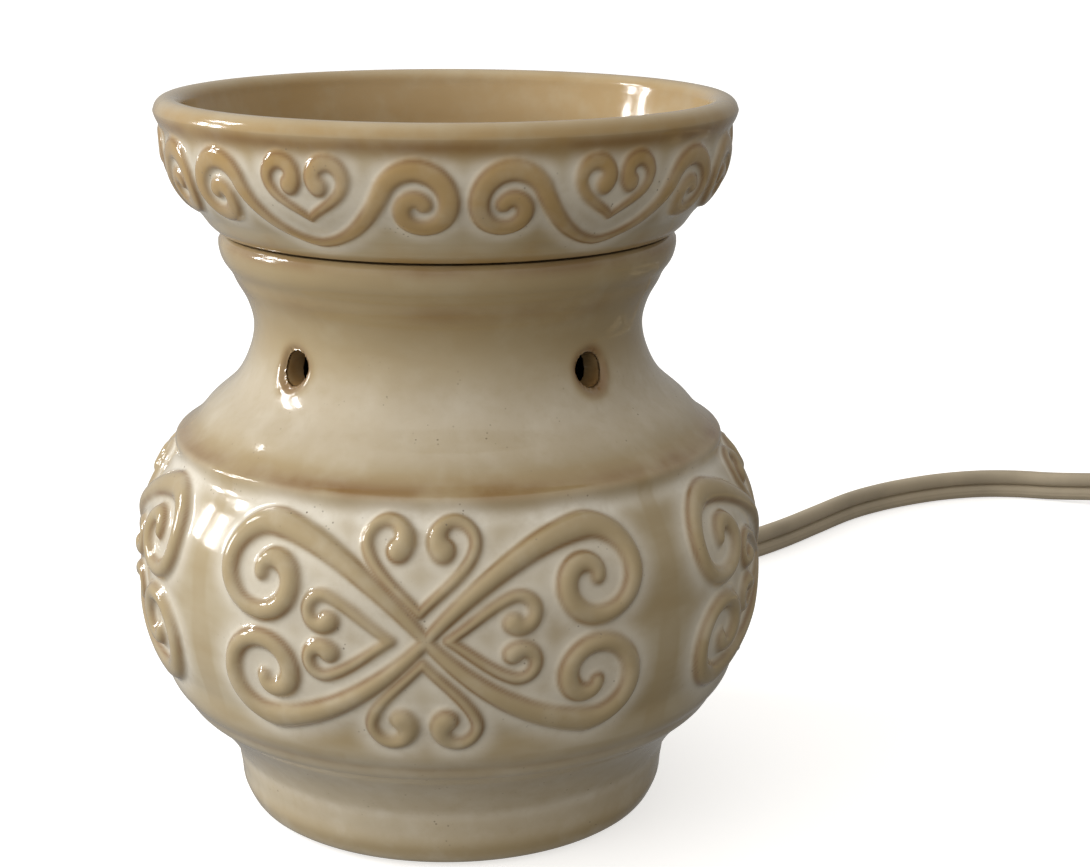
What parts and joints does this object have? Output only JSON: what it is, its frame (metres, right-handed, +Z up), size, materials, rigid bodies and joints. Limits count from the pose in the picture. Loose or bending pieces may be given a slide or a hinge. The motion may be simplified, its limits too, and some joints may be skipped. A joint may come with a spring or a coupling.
{
  "type": "wax warmer pot",
  "caption": "Glazed pot-shaped wax warmer with scroll relief, lift-off wax dish, screw-in lamp inside, neck vents and a flat lead with in-line rocker switch and plug.",
  "frame": {"origin": "centre of the footprint, on the plane of the rubber pads' undersides", "axes": "+Z up along the pot's axis of revolution, -Y towards the front between the two front vents, the lead leaves the back along +Y"},
  "size_m": [0.3163, 0.2441, 0.127],
  "materials": {
    "pot_glaze": "gloss, cream over tan, white pooled in the relief",
    "dish_glaze": "gloss, cream over tan, white pooled in the relief",
    "pad_rubber": "matte",
    "plated_steel": "zinc plated, satin",
    "screw_steel": "nickel plated",
    "brass": "satin",
    "phenolic": "moulded, semi-gloss",
    "core_dark": "wire insulation",
    "core_light": "wire insulation",
    "relief_pvc": "soft moulded",
    "solder": "satin",
    "black_glass": "gloss",
    "bulb_glass": "clear",
    "stem_glass": "clear",
    "support_wire": "drawn wire",
    "tungsten": "drawn wire",
    "lead_pvc": "soft, fine ribs",
    "tie_plastic": "coated wire tie",
    "switch_plastic": "fine moulded texture",
    "rocker_plastic": "polished",
    "plug_pvc": "soft moulded"
  },
  "bodies": {
    "warmer": {"body_shell": "pot_glaze", "foot_pads": "pad_rubber", "base_plate": "plated_steel", "clamp_strap": "plated_steel", "base_screws": "screw_steel", "nipple": "brass", "nipple_nuts": "screw_steel", "lock_washer": "screw_steel", "socket_bracket": "plated_steel", "bracket_rivets": "screw_steel", "socket_body": "phenolic", "socket_shell": "brass", "socket_contact": "brass", "terminal_screws": "brass", "lead_live": "core_dark", "lead_neutral": "core_light", "relief_clip": "relief_pvc", "strain_relief": "relief_pvc", "cord_feed": "lead_pvc", "cord_link": "lead_pvc", "cord_coil": "lead_pvc", "cord_tail": "lead_pvc", "cord_tie": "tie_plastic", "switch_base": "switch_plastic", "switch_cover": "switch_plastic", "rocker_pin": "screw_steel", "switch_contacts": "brass", "switch_wire": "core_light", "switch_screws": "screw_steel", "plug_body": "plug_pvc", "plug_blades": "brass"},
    "dish": {"wax_dish": "dish_glaze"},
    "lamp_contact": {"bulb_tip": "solder"},
    "lamp": {"bulb_insulator": "black_glass", "bulb_base": "brass", "bulb_glass": "bulb_glass", "bulb_stem": "stem_glass", "filament_supports": "support_wire", "filament": "tungsten"},
    "rocker": {"switch_rocker": "rocker_plastic"}
  },
  "joints": [
    {"name": "dish_lift", "type": "slide", "parent": "warmer", "child": "dish", "axis": [0, 0, 1], "range_m": [0, 0.06]},
    {"name": "bulb_rise", "type": "slide", "parent": "warmer", "child": "lamp_contact", "axis": [0, 0, 1], "range_m": [0, 0.0089]},
    {"name": "bulb_turn", "type": "hinge", "parent": "lamp_contact", "child": "lamp", "pos_m": [0, 0, 0.0345], "axis": [0, 0, 1], "range_deg": [0, 1260]},
    {"name": "rocker_tilt", "type": "hinge", "parent": "warmer", "child": "rocker", "pos_m": [0.2, 0.168, 0.0118], "axis": [0.342, 0.9397, 0], "range_deg": [0, 16]}
  ],
  "couplings": [
    {"joint": "bulb_rise", "follows": "bulb_turn", "m_per_rad": 0.00040425}
  ]
}
